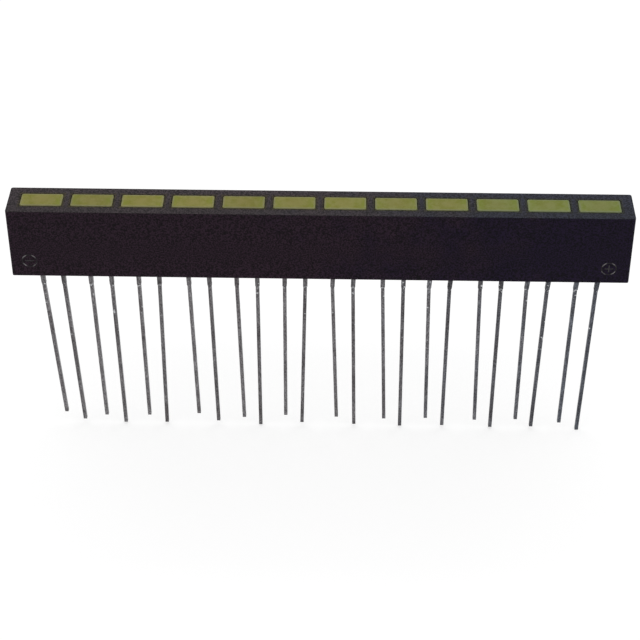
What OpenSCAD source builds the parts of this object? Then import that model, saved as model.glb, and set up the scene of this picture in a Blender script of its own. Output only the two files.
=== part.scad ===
// LED bar graph: a row of rectangular lamps pushed up into one moulded housing.
// The origin is the middle of the housing's seating face. +X runs along the row and +Z points out
// of the windows, so the leads hang below z = 0. Sizes are in millimetres.

/* [Housing] */
// Number of lamps in the row
lamp_count = 12; // [2:1:14]
// Width of the bar between two windows
window_bar = 0.9; // [0.7:0.05:3]
// Wall beyond the end windows, measured on the window face
end_wall = 1.45; // [0.9:0.05:6]
// Wall in front of and behind the windows, measured on the window face
side_wall = 1.175; // [0.8:0.025:4]
// Height from the seating face to the window face
housing_h = 9.5; // [8.5:0.1:16]
// How far each wall stands out further at the seating face than at the window face
draft = 0.25; // [0.05:0.05:0.6]
// Radius of the upright edges
corner_r = 0.26; // [0.1:0.02:0.6]
// Radius of the edges round the window face
rim_r = 0.06; // [0.02:0.02:0.08]

/* [Lamp] */
// Width of the lens along the row
lens_w = 5; // [4:0.1:8]
// Depth of the lens across the row
lens_d = 2.35; // [1.9:0.05:5]
// Height from the underside of the flange to the lens face
lamp_h = 7.55; // [6:0.05:8.4]
// Height of the lens face above the window face
lens_rise = 0.05; // [0:0.05:0.5]
// Radius of the lens's upright edges
lens_corner_r = 0.26; // [0.16:0.02:0.5]
// Radius of the edges round the lens face
lens_edge_r = 0.14; // [0.04:0.02:0.14]
// Thickness of the flange
flange_t = 1.2; // [0.6:0.1:2]
// How far the flange stands out beyond the ends of the lens
flange_lip_w = 0.2; // [0.1:0.05:0.3]
// How far the flange stands out beyond the long sides of the lens
flange_lip_d = 0.275; // [0.1:0.025:0.5]
// Gap between a lamp and the walls of its cell
lamp_fit = 0.05; // [0.02:0.01:0.1]

/* [Leads] */
// Distance between the two leads of a lamp
lead_spacing = 2.54; // [2.1:0.02:3.4]
// Side of a lead's square section
lead_side = 0.45; // [0.3:0.05:0.6]
// Width of the stub that the trimmed tie bar leaves
stub_w = 0.55; // [0.5:0.05:0.8]
// Length of the stub below the seating face
stub_len = 3.3; // [1:0.1:8]
// Length of the cathode lead below the seating face
cathode_len = 26; // [10:0.5:40]
// How much longer the anode lead is
anode_extra = 1.3; // [0:0.1:5]
// One step of the set that handling has left in the leads, 0 for straight leads
bend_step = 0.1; // [0:0.02:0.2]

/* [Lead frame inside the lamp] */
// Depth of the cup's rim below the lens face
cup_below_lens = 3.4; // [1.5:0.1:4]
// Outer diameter of the cup
cup_d = 1.2; // [0.9:0.05:1.5]
// Height of the cup
cup_h = 0.6; // [0.4:0.05:1]
// Diameter of the cup's mouth
cup_mouth_d = 0.9; // [0.7:0.05:1]
// Diameter of the cup's floor
cup_floor_d = 0.55; // [0.46:0.01:0.68]
// Depth of the cup's floor below its rim
cup_depth = 0.35; // [0.2:0.01:0.4]
// Height of the plate that carries the cup
anvil_h = 0.9; // [0.4:0.1:1.4]
// Height of the post's widened head
post_head_h = 0.8; // [0.3:0.1:1.4]
// Gap between the cup and the post's head
post_gap = 0.3; // [0.15:0.05:0.4]
// Side of the chip
chip_side = 0.3; // [0.2:0.02:0.32]
// Height of the chip
chip_h = 0.2; // [0.1:0.01:0.25]
// Thickness of the bond wire
wire_w = 0.04; // [0.03:0.01:0.08]
// Rise of the bond wire's loop
wire_rise = 0.6; // [0.4:0.05:1]

/* [Hidden] */
// Straight steps in each quarter turn of a rounded edge
arc_steps = 4;
// Straight steps along a bond wire
wire_steps = 10;
// Facets of the cup where it is drawn as a mesh
cup_fn = 48;
// Set of the leads in steps, a lamp at a time from the left: sideways at the foot of the stub,
// sideways at the tip of the cathode and of the anode, and upwards at both tips
foot_steps = [1, 0, -1, 1, 0, -1, -2, 0, -3, 0, -3, -3];
cathode_tip_steps = [6, -1, -4, 2, 2, -3, 4, 7, 2, 7, 1, -1];
anode_tip_steps = [4, -2, -7, 2, -2, -7, 2, 3, -1, 3, -3, -2];
rise_steps = [5, 0, 1, 5, -1, 4, 2, 0, 2, 0, 2, -3];

cell_w = lens_w + 2 * lamp_fit;
cell_d = lens_d + 2 * lamp_fit;
pitch = cell_w + window_bar;
face_l = (lamp_count - 1) * pitch + cell_w + 2 * end_wall;
face_d = cell_d + 2 * side_wall;
flange_w = lens_w + 2 * flange_lip_w;
flange_d = lens_d + 2 * flange_lip_d;
lens_z = housing_h + lens_rise;
base_z = lens_z - lamp_h;
shoulder_z = base_z + flange_t;
rim_z = lens_z - cup_below_lens;
cup_base_z = rim_z - cup_h;
plate_top_z = cup_base_z + (cup_h - cup_depth) / 2;
anvil_z = cup_base_z - anvil_h;
chip_z = rim_z - cup_depth;
post_z = chip_z + chip_h;
lead_x = lead_spacing / 2;
post_inner_x = cup_d / 2 + post_gap;
post_outer_x = lead_x + stub_w / 2;
bond_x = (post_inner_x + post_outer_x) / 2;
// How far a cutter reaches past the face it opens
through = 1;
// How far the mould cavity of a bonded piece reaches into what it is bonded to
bond_sink = chip_h / 4;
lamps = [1 : lamp_count];

housing_colour = "#2a262b";
lens_colour = "#a3a34a";
lead_colour = "#9a9aa0";
chip_colour = "#6f5a32";
wire_colour = "#d8b04a";

function number(i) = str(i < 10 ? "0" : "", i);
function nodes_of(name) = [for (i = lamps) str(name, number(i))];
function lamp_x(i) = (i - (lamp_count + 1) / 2) * pitch;
function set_of(steps, i) = bend_step * steps[(i - 1) % len(steps)];

// Outline of a rectangle with rounded corners, counterclockwise from its right-hand side
function rounded_outline(w, d, r) = [
    for (quarter = [[1, 1, 0], [-1, 1, 90], [-1, -1, 180], [1, -1, 270]], step = [0 : arc_steps])
        let (turn = quarter[2] + 90 * step / arc_steps)
        [quarter[0] * (w / 2 - r) + r * cos(turn), quarter[1] * (d / 2 - r) + r * sin(turn)]
];

// The same outline as a ring of points at height z, grown outwards with its corners concentric
function ring(w, d, r, z, grow = 0) = [
    for (p = rounded_outline(w + 2 * grow, d + 2 * grow, r + grow)) [p[0], p[1], z]
];

// Rings that round an edge of radius edge_r off into a face at height z
function rounded_edge(w, d, r, z, edge_r) = [
    for (step = [1 : arc_steps])
        let (turn = 90 * step / arc_steps)
        ring(w, d, r, z - edge_r * (1 - sin(turn)), -edge_r * (1 - cos(turn)))
];

// Solid through a stack of rings that have the same number of points
module loft(rings) {
    n = len(rings[0]);
    top = (len(rings) - 1) * n;
    sides = [
        for (k = [0 : len(rings) - 2], i = [0 : n - 1])
            let (next = (i + 1) % n)
            [k * n + i, (k + 1) * n + i, (k + 1) * n + next, k * n + next]
    ];
    polyhedron(
        points = [for (r = rings) each r],
        faces = concat([[for (i = [0 : n - 1]) i]], sides, [[for (i = [n - 1 : -1 : 0]) top + i]])
    );
}

// Flat pieces of the lead frame are stamped: an outline in the XZ plane, thick along Y
module stamped(outline, thickness) {
    rotate([90, 0, 0])
        linear_extrude(height = thickness, center = true)
            polygon(outline);
}

module housing() {
    color(housing_colour)
        difference() {
            loft(concat(
                [ring(face_l + 2 * draft, face_d + 2 * draft, corner_r, 0)],
                [ring(face_l, face_d, corner_r, housing_h - rim_r)],
                rounded_edge(face_l, face_d, corner_r, housing_h, rim_r)
            ));
            for (i = lamps)
                translate([lamp_x(i), 0, 0])
                    cell();
        }
}

// Room for one lamp: a window shaft above a wider pocket that stops its flange
module cell() {
    linear_extrude(height = housing_h + through)
        polygon(rounded_outline(cell_w, cell_d, lens_corner_r + lamp_fit));
    translate([0, 0, -through])
        linear_extrude(height = shoulder_z + through)
            polygon(rounded_outline(
                flange_w + 2 * lamp_fit, flange_d + 2 * lamp_fit, lens_corner_r + lamp_fit
            ));
}

// Lamp body, moulded round its lead frame, chip and bond wire
module lamp(i) {
    color(lens_colour)
        difference() {
            translate([lamp_x(i), 0, 0])
                loft(concat(
                    [ring(flange_w, flange_d, lens_corner_r, base_z)],
                    [ring(flange_w, flange_d, lens_corner_r, shoulder_z)],
                    [ring(lens_w, lens_d, lens_corner_r, shoulder_z)],
                    [ring(lens_w, lens_d, lens_corner_r, lens_z - lens_edge_r)],
                    rounded_edge(lens_w, lens_d, lens_corner_r, lens_z, lens_edge_r)
                ));
            cathode_lead(i);
            anode_lead(i);
            led_chip(i, bond_sink);
            bond_wire(i, bond_sink);
        }
}

// One edge of a lead from its tip up to the underside of the lamp, on the side that sign gives
function lead_edge(x, sign, foot_shift, tip_shift, length) = [
    [x + tip_shift + sign * lead_side / 2, -length],
    [x + foot_shift + sign * lead_side / 2, -stub_len],
    [x + foot_shift + sign * stub_w / 2, -stub_len],
    [x + sign * stub_w / 2, base_z]
];

function reversed(list) = [for (k = [len(list) - 1 : -1 : 0]) list[k]];

// Cathode lead: its plate leans in under the cup, which is coined wider than the strip
module cathode_lead(i) {
    foot = set_of(foot_steps, i);
    tip = set_of(cathode_tip_steps, i);
    length = cathode_len - set_of(rise_steps, i);
    outline = concat(
        lead_edge(-lead_x, 1, foot, tip, length),
        [
            [-lead_x + stub_w / 2, anvil_z],
            [cup_mouth_d / 2, cup_base_z - anvil_h / 2],
            [cup_mouth_d / 2, plate_top_z],
            [-cup_mouth_d / 2, plate_top_z],
            [-cup_mouth_d / 2, cup_base_z],
            [-lead_x - stub_w / 2, cup_base_z - anvil_h / 2]
        ],
        reversed(lead_edge(-lead_x, -1, foot, tip, length))
    );
    color(lead_colour)
        translate([lamp_x(i), 0, 0]) {
            stamped(outline, lead_side);
            difference() {
                translate([0, 0, cup_base_z])
                    cylinder(h = cup_h, d = cup_d, $fn = cup_fn);
                translate([0, 0, chip_z])
                    cylinder(h = cup_depth, d1 = cup_floor_d, d2 = cup_mouth_d, $fn = cup_fn);
            }
        }
}

// Anode lead: a post with a head that reaches in towards the cup
module anode_lead(i) {
    foot = set_of(foot_steps, i);
    tip = set_of(anode_tip_steps, i);
    length = cathode_len + anode_extra - set_of(rise_steps, i);
    outline = concat(
        lead_edge(lead_x, 1, foot, tip, length),
        [
            [post_outer_x, post_z],
            [post_inner_x, post_z],
            [post_inner_x, post_z - post_head_h],
            [lead_x - stub_w / 2, post_z - 2 * post_head_h]
        ],
        reversed(lead_edge(lead_x, -1, foot, tip, length))
    );
    color(lead_colour)
        translate([lamp_x(i), 0, 0])
            stamped(outline, lead_side);
}

// Chip, die-bonded to the floor of the cup
module led_chip(i, sink = 0) {
    color(chip_colour)
        translate([lamp_x(i) - chip_side / 2, -chip_side / 2, chip_z - sink])
            cube([chip_side, chip_side, chip_h + sink]);
}

// Half an ellipse from the chip to the post, reach wide each way and rise high
function loop_side(reach, rise) = [
    for (step = [0 : wire_steps])
        let (turn = 180 * step / wire_steps)
        [bond_x / 2 - reach * cos(turn), post_z + rise * sin(turn)]
];

// The two feet of a loop's side, where it is sunk into the chip and the post
function feet(side, sink) = sink > 0
    ? concat([[side[0][0], post_z - sink]], side, [[side[wire_steps][0], post_z - sink]])
    : side;

// Bond wire from the top of the chip over the cup's rim to the head of the post
module bond_wire(i, sink = 0) {
    outer = loop_side((bond_x + wire_w) / 2, wire_rise + wire_w / 2);
    inner = loop_side((bond_x - wire_w) / 2, wire_rise - wire_w / 2);
    color(wire_colour)
        translate([lamp_x(i), 0, 0])
            stamped(concat(feet(outer, sink), reversed(feet(inner, sink))), wire_w);
}

housing();
for (i = lamps) {
    lamp(i);
    cathode_lead(i);
    anode_lead(i);
    led_chip(i);
    bond_wire(i);  // bond_wires
}
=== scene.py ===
"""Looks of the LED bar graph: finishes, moulded marks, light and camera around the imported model."""
import math

import bmesh
import bpy
from mathutils import Matrix, Vector


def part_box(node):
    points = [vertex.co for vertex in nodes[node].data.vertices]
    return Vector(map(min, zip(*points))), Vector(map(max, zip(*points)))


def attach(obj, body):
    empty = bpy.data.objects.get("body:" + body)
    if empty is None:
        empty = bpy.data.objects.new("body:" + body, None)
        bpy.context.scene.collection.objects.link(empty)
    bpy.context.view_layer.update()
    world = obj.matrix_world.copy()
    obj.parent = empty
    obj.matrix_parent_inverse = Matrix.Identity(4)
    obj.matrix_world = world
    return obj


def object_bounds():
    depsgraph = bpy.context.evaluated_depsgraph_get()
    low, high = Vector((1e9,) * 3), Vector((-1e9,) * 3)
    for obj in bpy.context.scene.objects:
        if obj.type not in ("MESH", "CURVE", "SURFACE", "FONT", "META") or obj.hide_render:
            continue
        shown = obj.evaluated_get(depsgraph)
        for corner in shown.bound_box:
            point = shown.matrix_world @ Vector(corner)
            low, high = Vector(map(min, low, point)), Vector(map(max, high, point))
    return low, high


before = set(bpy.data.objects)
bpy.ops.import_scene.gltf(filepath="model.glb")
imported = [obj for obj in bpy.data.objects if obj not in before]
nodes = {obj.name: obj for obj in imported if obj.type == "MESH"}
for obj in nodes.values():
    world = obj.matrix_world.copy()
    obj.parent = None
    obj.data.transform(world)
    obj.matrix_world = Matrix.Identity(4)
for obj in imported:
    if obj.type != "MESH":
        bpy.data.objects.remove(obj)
cad_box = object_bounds()

MM = 0.001
WHITE = (1.0, 1.0, 1.0, 1.0)

# Sizes taken from the frame, in millimetres
housing_low, housing_high = (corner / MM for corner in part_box("housing"))
first_lamp_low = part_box("lamp_01")[0] / MM
next_lamp_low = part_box("lamp_02")[0] / MM
PITCH = next_lamp_low.x - first_lamp_low.x
LAMP_COUNT = sum(name.startswith("lamp_") for name in nodes)
ROW_LEFT = -LAMP_COUNT * PITCH / 2
FLOOR_Z = cad_box[0].z / MM

# Sizes of forms inside a node, in millimetres, as in part.scad
LENS_W = 5.0
LENS_D = 2.35
RIM_R = 0.06
DRAFT = 0.25
STUB_LEN = 3.3

# Ring marks near the lower corners of the front face, in millimetres
LEFT_MARK_X = -34.89
LEFT_MARK_Z = 2.26
RIGHT_MARK_X = 34.62
RIGHT_MARK_Z = 2.11
MARK_R = 0.86
MARK_BAR = 1.05
BEAD_W = 0.15
BEAD_H = 0.028
BEAD_SINK = 0.02
RING_STEPS = 64
BEAD_STEPS = 8

# Floor, in metres but for the distances of the glow, which are in millimetres
FLOOR_HALF = 2.0
FLOOR_COLOUR = (0.42, 0.42, 0.42, 1.0)
GLOW_NEAR = 0.66
GLOW_FAR = 0.94
GLOW_START = 120.0
GLOW_END = 750.0

# Light, in metres and watts, and the strength of the world's fill
OVERHEAD_PLACE = Vector((0.0, 0.05, 0.45))
OVERHEAD_SIZE = 0.7
OVERHEAD_POWER = 3.0
FILL_STRENGTH = 0.15

# Camera, fitted to the housing's edges, windows and leads in the photograph; lengths in millimetres
CAMERA_ELEVATION = math.radians(41.408)
CAMERA_YAW = math.radians(-1.278)
CAMERA_ROLL = math.radians(-0.095)
CAMERA_DISTANCE = 200.891
CAMERA_TARGET = Vector((-0.011, 0.0, -8.929))
CAMERA_LENS = 89.82
CAMERA_SENSOR = 36.0
CAMERA_NEAR = 10.0
CAMERA_FAR = 10000.0

# Where most values of a noise lie
NOISE_RANGE = (0.3, 0.7)

# Colour sockets of the Mix node, by number because their names repeat for each type of data
MIX_FIRST = 6
MIX_SECOND = 7
MIX_RESULT = 2


class ShaderTree:
    """Adds nodes to a tree by type; a socket takes a number, a colour or another socket."""

    def __init__(self, tree):
        self.tree = tree

    def add(self, kind, inputs=None, **settings):
        node = self.tree.nodes.new(kind)
        for name, value in settings.items():
            setattr(node, name, value)
        for socket, value in (inputs or {}).items():
            self.feed(node.inputs[socket], value)
        return node

    def feed(self, socket, value):
        if isinstance(value, bpy.types.NodeSocket):
            self.tree.links.new(value, socket)
        else:
            socket.default_value = value

    def math(self, operation, *values):
        return self.add("ShaderNodeMath", dict(enumerate(values)), operation=operation).outputs[0]

    def ramp(self, value, start, end, low=0.0, high=1.0):
        """Smooth step of value from start to end, as a number from low to high."""
        return self.add(
            "ShaderNodeMapRange",
            {"Value": value, "From Min": start, "From Max": end, "To Min": low, "To Max": high},
            interpolation_type="SMOOTHSTEP",
        ).outputs[0]

    def shown(self):
        """1 for rays that show the background: camera, glossy and transmission rays."""
        path = self.add("ShaderNodeLightPath").outputs
        either = self.math("MAXIMUM", path["Is Camera Ray"], path["Is Glossy Ray"])
        return self.math("MAXIMUM", either, path["Is Transmission Ray"])


class Finish(ShaderTree):
    """A procedural material on the Principled shader, with the place on the object in millimetres."""

    def __init__(self, name, **constants):
        self.material = bpy.data.materials.new(name)
        self.material.use_nodes = True
        super().__init__(self.material.node_tree)
        self.set(**constants)
        self.place = self.times(self.add("ShaderNodeTexCoord").outputs["Object"], (1 / MM,) * 3)
        self.x, self.y, self.z = self.add("ShaderNodeSeparateXYZ", {0: self.place}).outputs

    def set(self, **sockets):
        """Feeds the shader's sockets, which are named with _ for each space."""
        shader = self.tree.nodes["Principled BSDF"]
        for name, value in sockets.items():
            self.feed(shader.inputs[name.replace("_", " ")], value)

    def times(self, vector, factors):
        """A place or a colour times a factor for each axis or channel."""
        return self.add("ShaderNodeVectorMath", {0: vector, 1: factors}, operation="MULTIPLY").outputs[0]

    def shaded(self, colour, factor):
        """Colour times a number."""
        node = self.add("ShaderNodeVectorMath", {0: colour, "Scale": factor}, operation="SCALE")
        return node.outputs[0]

    def blend(self, share, first, second):
        """Colour from first to second."""
        node = self.add("ShaderNodeMix", {0: share}, data_type="RGBA")
        for number, colour in ((MIX_FIRST, first), (MIX_SECOND, second)):
            linked = isinstance(colour, bpy.types.NodeSocket)
            self.feed(node.inputs[number], colour if linked else (*colour, 1.0))
        return node.outputs[MIX_RESULT]

    def noise(self, per_mm, detail=2.0, roughness=0.5, stretch=None):
        """Noise from 0 to 1, with so many cells to the millimetre, or to the stretched one."""
        place = self.times(self.place, stretch) if stretch else self.place
        return self.add(
            "ShaderNodeTexNoise",
            {"Vector": place, "Scale": per_mm, "Detail": detail, "Roughness": roughness},
        ).outputs[0]

    def relief(self, height, depth, strength, normal=None):
        """Bump of depth millimetres where height runs from 0 to 1."""
        bump = {"Height": height, "Distance": depth * MM, "Strength": strength}
        if normal is not None:
            bump["Normal"] = normal
        return self.add("ShaderNodeBump", bump).outputs[0]

    def cast(self, per_mm, start, end):
        """Share of the cooler colours: it grows in random patches, and with painted light that cools from
        the left end of the row to the right.
        """
        # Painted light: the share of the cooler colours rises along the row by so much to the millimetre
        light_drift_per_mm = 0.02
        light_drift = self.math("MULTIPLY", self.x, light_drift_per_mm)
        sloped = self.math("ADD", self.noise(per_mm, detail=3.0, roughness=0.6), light_drift)
        return self.ramp(sloped, start, end)

    def lamp_number(self):
        """Whole number of the nearest lamp, from 0 at the left end of the row."""
        steps = self.math("DIVIDE", self.math("SUBTRACT", self.x, ROW_LEFT), PITCH)
        number = self.math("MAXIMUM", self.math("FLOOR", steps), 0.0)
        return self.math("MINIMUM", number, LAMP_COUNT - 1.0)

    def inside_lens(self):
        """Distances in from the ends and from the sides of the nearest lens, negative outside it."""
        centre = self.math("MULTIPLY_ADD", self.lamp_number(), PITCH, ROW_LEFT + PITCH / 2)
        along = self.math("ABSOLUTE", self.math("SUBTRACT", self.x, centre))
        across = self.math("ABSOLUTE", self.y)
        return self.math("SUBTRACT", LENS_W / 2, along), self.math("SUBTRACT", LENS_D / 2, across)


def housing_plastic():
    """Black moulded plastic: fine grain, mottled pigment, a greyed window face, olive beside the lenses;
    painted light makes the rim paler towards the back, and together with random patches turns the colours
    cooler from the left end of the row to the right.
    """
    # Face and rim colours at the warm and the cooler end: they mix in random patches and in painted light
    # that cools from the left end of the row to the right
    face_warm = (0.0268, 0.0140, 0.0238)
    face_cool = (0.0104, 0.0056, 0.0192)
    rim_warm = (0.0236, 0.0182, 0.0206)
    rim_cool = (0.0136, 0.0148, 0.0230)
    olive_tint = (0.94, 0.94, 0.48)
    # Painted light: how much paler the rim is at its back edge than at its front
    painted_back_light = 1.15
    # Values of the speckle at the bottom of a pit and on a peak
    pit_to_peak = (0.37, 0.63)
    # In from the edge of a lens, so negative: where the olive starts and where it is full
    olive_zone = (-0.4, -0.12)
    # Heights at the rounded rim: where the grey of the window face starts and where it is full
    grey_zone = (housing_high.z - 1.5 * RIM_R, housing_high.z - 0.2 * RIM_R)
    finish = Finish("housing_plastic")
    # Share of the cooler colours: random patches and painted light along the row
    patchy_cool_light = finish.cast(per_mm=0.3, start=0.36, end=1.08)
    speckle = finish.noise(per_mm=5.5, detail=2.0, roughness=0.6)
    grain = finish.noise(per_mm=14.0, detail=3.0, roughness=0.65)
    face = finish.blend(patchy_cool_light, face_warm, face_cool)
    rim = finish.blend(patchy_cool_light, rim_warm, rim_cool)
    beside_lens = finish.ramp(finish.math("MINIMUM", *finish.inside_lens()), *olive_zone)
    rim = finish.blend(beside_lens, rim, finish.times(rim, olive_tint))
    # Painted light: the rim grows paler from the front to the back
    rim = finish.shaded(rim, finish.ramp(finish.y, -LENS_D / 2, LENS_D / 2, low=1.0, high=painted_back_light))
    body = finish.blend(finish.ramp(finish.z, *grey_zone), face, rim)
    fine = finish.relief(grain, depth=0.012, strength=0.6)
    finish.set(
        Base_Color=finish.shaded(body, finish.ramp(speckle, *pit_to_peak, low=0.15, high=1.85)),
        Specular_IOR_Level=finish.ramp(speckle, *pit_to_peak, low=0.08, high=0.12),
        Roughness=finish.ramp(speckle, *NOISE_RANGE, low=0.48, high=0.62),
        Normal=finish.relief(speckle, depth=0.016, strength=0.6, normal=fine),
    )
    return finish.material


def lamp_epoxy():
    """Diffused olive epoxy: yellow-green near the ends, tan over the lead frame, greyer at the edges with a
    painted highlight, and warmer at the left end of the row and cooler at the right with painted light.
    """
    clear = (0.130, 0.133, 0.001)
    hazy = (0.176, 0.174, 0.040)
    green = (0.135, 0.164, 0.002)
    tan = (0.180, 0.158, 0.036)
    pale_grit = (0.205, 0.202, 0.054)
    # Painted highlight: the paler grey along the lens's edges
    painted_edge_highlight = (0.178, 0.180, 0.099)
    # Painted light: colour factors at the warm left end and the cooler right end of the row
    painted_warm_light = (1.07, 1.01, 0.92)
    painted_cool_light = (0.85, 1.0, 1.0)
    # Distances in from the ends and sides of the lens: where a zone starts and where it is full
    green_from_end = (1.1, 0.4)
    tan_from_end = (1.0, 2.2)
    tan_from_side = (0.1, 1.0)
    edge_highlight_zone = (0.34, 0.08)
    finish = Finish(
        "lamp_epoxy",
        Specular_IOR_Level=0.22,
        Subsurface_Weight=0.12,
        Subsurface_Scale=0.3 * MM,
        Subsurface_Radius=(1.0, 0.9, 0.35),
    )
    to_end, to_side = finish.inside_lens()
    haze = finish.noise(per_mm=1.1, detail=4.0, roughness=0.65)
    grit = finish.noise(per_mm=6.0)
    body = finish.blend(finish.ramp(haze, 0.36, 0.64), clear, hazy)
    unhazed = finish.ramp(haze, 0.6, 0.4, high=0.7)
    near_end = finish.math("MULTIPLY", finish.ramp(to_end, *green_from_end), unhazed)
    body = finish.blend(near_end, body, green)
    well_inside = finish.ramp(to_side, *tan_from_side, high=0.45)
    over_frame = finish.math("MULTIPLY", finish.ramp(to_end, *tan_from_end), well_inside)
    body = finish.blend(over_frame, body, tan)
    body = finish.blend(finish.ramp(grit, 0.48, 0.8, high=0.5), body, pale_grit)
    # Painted highlight along the edges of the lens
    edge_highlight_share = finish.ramp(finish.math("MINIMUM", to_end, to_side), *edge_highlight_zone, high=0.65)
    body = finish.blend(edge_highlight_share, body, painted_edge_highlight)
    number = finish.lamp_number()
    draw = finish.add("ShaderNodeTexWhiteNoise", {"W": number}, noise_dimensions="1D").outputs[0]
    body = finish.shaded(body, finish.ramp(draw, 0.0, 1.0, low=0.90, high=1.04))
    # Painted light that turns from warm to cooler along the row, in patches
    light_drift_tint = finish.blend(finish.cast(per_mm=0.08, start=0.2, end=1.34), painted_warm_light, painted_cool_light)
    finish.set(
        Base_Color=finish.times(body, light_drift_tint),
        Roughness=finish.ramp(haze, 0.25, 0.75, low=0.36, high=0.5),
        Normal=finish.relief(grit, depth=0.006, strength=0.5),
    )
    return finish.material


def tinned_steel(name, tone):
    """Tinned lead-frame steel: drawn streaks, dull oxide, painted shade that darkens the stubs under the
    housing, painted glints of bright metal at shear marks and nicks, and painted light that dims and cools
    along the row.
    """
    dark_streak = (0.078, 0.078, 0.080)
    pale_streak = (0.165, 0.165, 0.168)
    dull = (0.072, 0.067, 0.068)
    # Metal at shear marks and nicks, painted bright as glints
    bare_metal_glint = (0.50, 0.51, 0.52)
    # Painted light: colour factors at the bright warm left end and the dim cooler right end of the row
    painted_warm_light = (1.231, 1.182, 1.203)
    painted_cool_light = (0.70, 0.75, 0.86)
    # Painted shade: how much darker the stubs are just under the housing
    stub_painted_shade = 0.82
    # Middle of the sheared band of painted glints, a little below the stub, and half the length of the
    # change to the stub's painted shade
    shear_drop = 0.1
    shear_z = -STUB_LEN - shear_drop
    tone_half = 0.4
    # Distances from the middle of the sheared band of painted glints: where it starts and where it is full
    shear_zone = (0.3, 0.1)
    # Heights where the painted glints of nicks start and above which they are full
    nick_zone = (-15.0, -11.0)
    finish = Finish(name, Metallic=1.0)
    streaks = finish.noise(per_mm=1.0, detail=4.0, roughness=0.65, stretch=(7.0, 7.0, 1.1))
    oxide = finish.noise(per_mm=1.0, detail=3.0, roughness=0.6, stretch=(0.9, 0.9, 0.22))
    grit = finish.noise(per_mm=5.0)
    metal = finish.blend(finish.ramp(streaks, *NOISE_RANGE), dark_streak, pale_streak)
    metal = finish.blend(finish.ramp(oxide, 0.4, 0.7, high=0.75), metal, dull)
    # Painted light that dims and cools along the row, in patches
    light_drift_tint = finish.blend(finish.cast(per_mm=0.1, start=0.47, end=1.25), painted_warm_light, painted_cool_light)
    # Painted shade on the stubs under the housing
    shaded_stub_tone = stub_painted_shade * tone
    level = finish.ramp(finish.z, shear_z - tone_half, shear_z + tone_half, low=tone, high=shaded_stub_tone)
    flecks = finish.ramp(grit, 0.32, 0.68, low=0.58, high=1.47)
    metal = finish.shaded(finish.times(metal, light_drift_tint), finish.math("MULTIPLY", level, flecks))
    # Painted glints: bright metal at the sheared band and at nicks lower down
    from_shear = finish.math("ABSOLUTE", finish.math("SUBTRACT", finish.z, shear_z))
    shear_glint = finish.math("MULTIPLY", finish.ramp(from_shear, *shear_zone), finish.ramp(grit, 0.54, 0.64))
    glint_spots = finish.ramp(finish.noise(per_mm=2.0, detail=1.0), 0.725, 0.75)
    nick_glint = finish.math("MULTIPLY", glint_spots, finish.ramp(finish.z, *nick_zone))
    fine = finish.relief(grit, depth=0.01, strength=0.4)
    finish.set(
        # Painted glints on the metal at shear marks and nicks
        Base_Color=finish.blend(finish.math("MAXIMUM", shear_glint, nick_glint), metal, bare_metal_glint),
        Roughness=finish.ramp(oxide, *NOISE_RANGE, low=0.34, high=0.55),
        Normal=finish.relief(streaks, depth=0.02, strength=0.5, normal=fine),
    )
    return finish.material


def chip_crystal():
    """Sawn compound-semiconductor crystal: amber, with fine saw marks."""
    dark_amber = (0.14, 0.085, 0.03)
    pale_amber = (0.24, 0.15, 0.05)
    finish = Finish("chip_crystal", Specular_IOR_Level=0.6)
    saw_marks = finish.noise(per_mm=1.0, detail=3.0, stretch=(4.0, 4.0, 60.0))
    finish.set(
        Base_Color=finish.blend(saw_marks, dark_amber, pale_amber),
        Roughness=finish.ramp(saw_marks, *NOISE_RANGE, low=0.25, high=0.5),
        Normal=finish.relief(saw_marks, depth=0.004, strength=0.6),
    )
    return finish.material


def bond_gold():
    """Drawn gold wire with faint die lines."""
    dark_gold = (0.72, 0.48, 0.14)
    pale_gold = (0.86, 0.62, 0.22)
    finish = Finish("bond_gold", Metallic=1.0)
    lines = finish.noise(per_mm=60.0)
    finish.set(
        Base_Color=finish.blend(lines, dark_gold, pale_gold),
        Roughness=finish.ramp(lines, *NOISE_RANGE, low=0.2, high=0.35),
        Normal=finish.relief(lines, depth=0.001, strength=0.5),
    )
    return finish.material


def mark_plastic(name, mark_x, mark_z):
    """The housing's plastic on the raised beads, with painted highlights: on the signs a little, on the
    ring at its diagonals.
    """
    black = (0.010, 0.007, 0.010)
    # Painted highlight colour of the beads
    painted_highlight_grey = (0.32, 0.30, 0.31)
    sign_highlight_level = 0.16
    # Sideways times upwards from the middle, in square millimetres: where the painted highlight starts and
    # is full
    diagonal_zone = (0.2, 0.38)
    finish = Finish(name, Specular_IOR_Level=0.2)
    sideways = finish.math("SUBTRACT", finish.x, mark_x)
    upwards = finish.math("SUBTRACT", finish.z, mark_z)
    diagonal = finish.math("ABSOLUTE", finish.math("MULTIPLY", sideways, upwards))
    patchy = finish.ramp(finish.noise(per_mm=1.6), 0.25, 0.55)
    # Painted highlights on the ring at its diagonals, broken up in patches
    ring = finish.math("MULTIPLY", finish.ramp(diagonal, *diagonal_zone), patchy)
    squared = finish.math("MULTIPLY_ADD", sideways, sideways, finish.math("MULTIPLY", upwards, upwards))
    inner_edge = MARK_R - BEAD_W / 2
    # Faint painted highlight on the sign's bars
    sign = finish.ramp(finish.math("SQRT", squared), inner_edge, MARK_BAR / 2, high=sign_highlight_level)
    highlight_share = finish.math("MAXIMUM", ring, sign)
    finish.set(
        Base_Color=finish.blend(highlight_share, black, painted_highlight_grey),
        Roughness=finish.ramp(highlight_share, 0.0, 1.0, low=0.5, high=0.3),
        Normal=finish.relief(finish.noise(per_mm=14.0), depth=0.005, strength=0.5),
    )
    return finish.material


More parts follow.
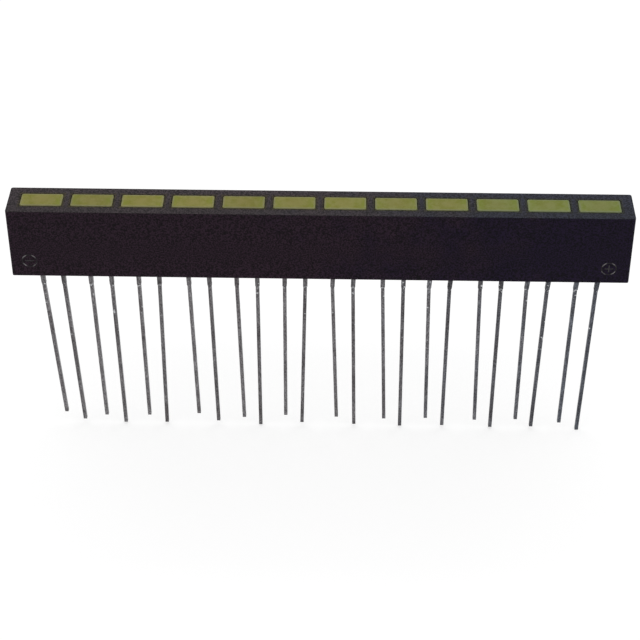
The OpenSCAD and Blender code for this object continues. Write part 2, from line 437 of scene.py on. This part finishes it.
def floor_finish():
    """Pale grey, clear from below, with a glow that whitens it for the rays that show it."""
    finish = Finish("floor", Base_Color=FLOOR_COLOUR, Specular_IOR_Level=0.0, Emission_Color=WHITE)
    length = finish.add("ShaderNodeVectorMath", {0: finish.place}, operation="LENGTH")
    from_middle = length.outputs["Value"]
    glow = finish.ramp(from_middle, GLOW_START, GLOW_END, low=GLOW_NEAR, high=GLOW_FAR)
    from_below = finish.add("ShaderNodeNewGeometry").outputs["Backfacing"]
    finish.set(
        Emission_Strength=finish.math("MULTIPLY", finish.shown(), glow),
        Alpha=finish.math("SUBTRACT", 1.0, from_below),
    )
    return finish.material


def dress_nodes():
    """Each CAD node takes the finish of what it is made of."""
    by_start = {
        "housing": housing_plastic(),
        "lamp": lamp_epoxy(),
        "cathode_lead": tinned_steel("tinned_steel_cathode", tone=1.13),
        "anode_lead": tinned_steel("tinned_steel_anode", tone=0.94),
        "led_chip": chip_crystal(),
        "bond_wires": bond_gold(),
    }
    for name, node in nodes.items():
        finish = next(material for start, material in by_start.items() if name.startswith(start))
        node.data.materials.clear()
        node.data.materials.append(finish)


def link_mesh(name, mesh, material):
    """New object in the scene with the faces of a bmesh, which is freed."""
    data = bpy.data.meshes.new(name)
    mesh.to_mesh(data)
    mesh.free()
    data.materials.append(material)
    linked = bpy.data.objects.new(name, data)
    bpy.context.scene.collection.objects.link(linked)
    return linked


def bead_profile():
    """Half-round section of a bead, as (sideways, outwards) points, sunk a little into the face."""
    turns = [math.pi * k / BEAD_STEPS for k in range(BEAD_STEPS + 1)]
    arch = [(math.cos(t) * BEAD_W / 2, math.sin(t) * BEAD_H) for t in turns]
    return arch + [(-BEAD_W / 2, -BEAD_SINK), (BEAD_W / 2, -BEAD_SINK)]


def ring_section(t, profile):
    """The profile across the ring at turn t, as points of the flat mark."""
    return [(math.cos(t) * (MARK_R + u), math.sin(t) * (MARK_R + u), h) for u, h in profile]


def bar_section(t, x, profile):
    """The profile across a bar at turn t, x along it from the middle, as points of the flat mark."""
    return [
        (x * math.cos(t) - u * math.sin(t), x * math.sin(t) + u * math.cos(t), h)
        for u, h in profile
    ]


def sweep(mesh, sections, closed):
    """Skins equal sections of points in turn, and caps the ends unless they meet."""
    rows = [[mesh.verts.new(point) for point in section] for section in sections]
    pairs = list(zip(rows, rows[1:]))
    if closed:
        pairs.append((rows[-1], rows[0]))
    for row, following in pairs:
        for k in range(len(row)):
            last = k - 1
            mesh.faces.new((row[last], row[k], following[k], following[last]))
    if not closed:
        mesh.faces.new(rows[0])
        mesh.faces.new(reversed(rows[-1]))


def on_front_face(mark_x, mark_z):
    """Matrix that stands a flat mark on the drafted front face, in millimetres."""
    face_height = housing_high.z - RIM_R
    along = Vector((1, 0, 0))
    upright = Vector((0, DRAFT, face_height)).normalized()
    outwards = along.cross(upright)
    matrix = Matrix((along, upright, outwards)).transposed().to_4x4()
    matrix.translation = Vector((mark_x, housing_low.y + DRAFT * mark_z / face_height, mark_z))
    return matrix


def ring_mark(name, mark_x, mark_z, bar_turns):
    """A raised ring round a sign, which has a bar at each of the turns."""
    mesh = bmesh.new()
    profile = bead_profile()
    ring_turns = [math.tau * k / RING_STEPS for k in range(RING_STEPS)]
    sweep(mesh, [ring_section(t, profile) for t in ring_turns], closed=True)
    ends = (-MARK_BAR / 2, MARK_BAR / 2)
    for t in bar_turns:
        sweep(mesh, [bar_section(t, x, profile) for x in ends], closed=False)
    bmesh.ops.recalc_face_normals(mesh, faces=mesh.faces)
    for face in mesh.faces:
        face.smooth = True
    to_metres = Matrix.Scale(MM, 4)
    bmesh.ops.transform(mesh, matrix=to_metres @ on_front_face(mark_x, mark_z), verts=mesh.verts)
    piece = link_mesh(name, mesh, mark_plastic(name, mark_x, mark_z))
    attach(piece, "root")


def add_marks():
    """A minus at the left end and a plus at the right, as each lamp has its cathode left of its anode."""
    level = 0.0
    upright = math.pi / 2
    ring_mark("front_mark_left", LEFT_MARK_X, LEFT_MARK_Z, [level])
    ring_mark("front_mark_right", RIGHT_MARK_X, RIGHT_MARK_Z, [level, upright])


def add_floor():
    """Floor under the lead tips, which keeps the object's shadow."""
    mesh = bmesh.new()
    bmesh.ops.create_grid(mesh, x_segments=1, y_segments=1, size=FLOOR_HALF)
    floor = link_mesh("floor", mesh, floor_finish())
    floor.location.z = FLOOR_Z * MM


def add_world():
    """White to the eye and in reflections, a dim even fill for everything else."""
    world = bpy.data.worlds.new("studio")
    world.use_nodes = True
    bpy.context.scene.world = world
    shading = ShaderTree(world.node_tree)
    background = world.node_tree.nodes["Background"].inputs
    shading.feed(background["Color"], WHITE)
    shading.feed(background["Strength"], shading.ramp(shading.shown(), 0.0, 1.0, low=FILL_STRENGTH))


def add_overhead():
    """Square softbox that faces the object."""
    light = bpy.data.lights.new("overhead", "AREA")
    light.shape = "SQUARE"
    light.size = OVERHEAD_SIZE
    light.energy = OVERHEAD_POWER
    lamp = bpy.data.objects.new("overhead", light)
    lamp.location = OVERHEAD_PLACE
    lamp.rotation_mode = "QUATERNION"
    lamp.rotation_quaternion = (-OVERHEAD_PLACE).to_track_quat("-Z", "Y")
    bpy.context.scene.collection.objects.link(lamp)


def add_camera():
    """Camera at the place, turn and focal length fitted to the photograph."""
    level = Vector((math.sin(CAMERA_YAW), math.cos(CAMERA_YAW), 0.0))
    ahead = level * math.cos(CAMERA_ELEVATION) - Vector((0.0, 0.0, math.sin(CAMERA_ELEVATION)))
    right = Vector((math.cos(CAMERA_YAW), -math.sin(CAMERA_YAW), 0.0))
    up = right.cross(ahead)
    rolled_right = right * math.cos(CAMERA_ROLL) + up * math.sin(CAMERA_ROLL)
    rolled_up = up * math.cos(CAMERA_ROLL) - right * math.sin(CAMERA_ROLL)
    data = bpy.data.cameras.new("camera")
    data.lens = CAMERA_LENS
    data.sensor_width = CAMERA_SENSOR
    data.clip_start = CAMERA_NEAR * MM
    data.clip_end = CAMERA_FAR * MM
    camera = bpy.data.objects.new("camera", data)
    place = Matrix((rolled_right, rolled_up, -ahead)).transposed().to_4x4()
    place.translation = (CAMERA_TARGET - ahead * CAMERA_DISTANCE) * MM
    camera.matrix_world = place
    bpy.context.scene.collection.objects.link(camera)
    bpy.context.scene.camera = camera


dress_nodes()
add_marks()
add_floor()
add_world()
add_overhead()
add_camera()
bpy.context.scene.view_settings.view_transform = "Standard"
